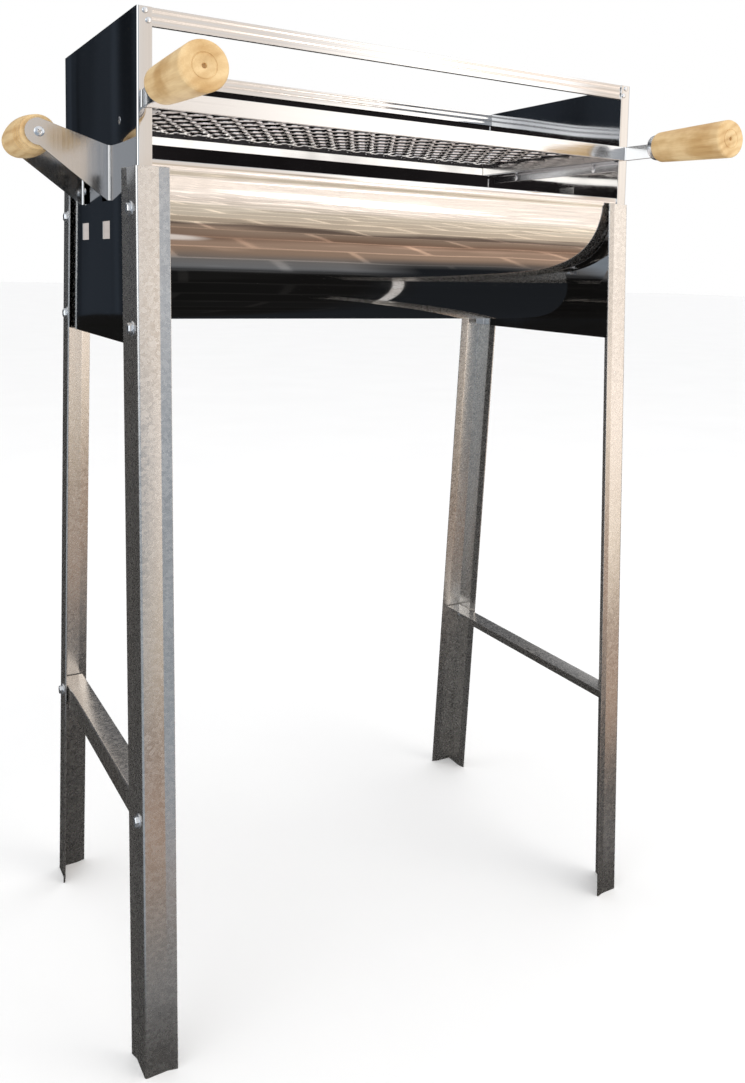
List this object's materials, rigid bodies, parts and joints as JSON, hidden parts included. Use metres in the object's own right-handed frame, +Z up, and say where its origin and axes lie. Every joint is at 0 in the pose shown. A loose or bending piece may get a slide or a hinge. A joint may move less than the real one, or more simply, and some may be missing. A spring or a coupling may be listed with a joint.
{
  "type": "charcoal barbecue",
  "caption": "Free-standing half-drum charcoal barbecue on splayed angle legs, with a pull-out expanded-metal grate and wooden handles.",
  "frame": {"origin": "on the floor, in the middle of the whole object's outline", "axes": "+Z up, +Y to the back of the barbecue, +X to its right seen from the front, where the grate handles point towards -Y"},
  "size_m": [0.644, 0.4678, 0.86],
  "materials": {
    "polished_stainless": "polished",
    "galvanised_steel": "satin",
    "grate_steel": "satin",
    "turned_pine": "satin",
    "zinc_fastener": "polished"
  },
  "bodies": {
    "body": {"trough_sheet": "polished_stainless", "end_panel_left": "polished_stainless", "end_panel_right": "polished_stainless", "front_top_rail": "polished_stainless", "back_top_rail": "polished_stainless", "leg_front_left": "galvanised_steel", "leg_front_right": "galvanised_steel", "leg_back_left": "galvanised_steel", "leg_back_right": "galvanised_steel", "side_brace_left": "galvanised_steel", "side_brace_right": "galvanised_steel", "grate_ledge_left": "galvanised_steel", "grate_ledge_right": "galvanised_steel", "carry_arm_front_left": "polished_stainless", "carry_arm_front_right": "polished_stainless", "carry_arm_rear_left": "polished_stainless", "carry_arm_rear_right": "polished_stainless", "carry_grip_left": "turned_pine", "carry_grip_right": "turned_pine", "leg_bolts": "zinc_fastener", "leg_nuts": "zinc_fastener", "brace_bolts": "zinc_fastener", "brace_nuts": "zinc_fastener", "carry_arm_rivets": "zinc_fastener", "ledge_rivets": "zinc_fastener", "rail_rivets": "zinc_fastener", "carry_grip_screws": "zinc_fastener"},
    "grate": {"grate_front_bar": "grate_steel", "grate_rear_bar": "grate_steel", "grate_side_bar_left": "grate_steel", "grate_side_bar_right": "grate_steel", "grate_mesh": "grate_steel", "handle_ferrule_left": "galvanised_steel", "handle_grip_left": "turned_pine", "handle_ferrule_right": "galvanised_steel", "handle_grip_right": "turned_pine"}
  },
  "joints": [
    {"name": "grate_slide", "type": "slide", "parent": "body", "child": "grate", "axis": [0, -1, 0], "range_m": [0, 0.2]}
  ]
}
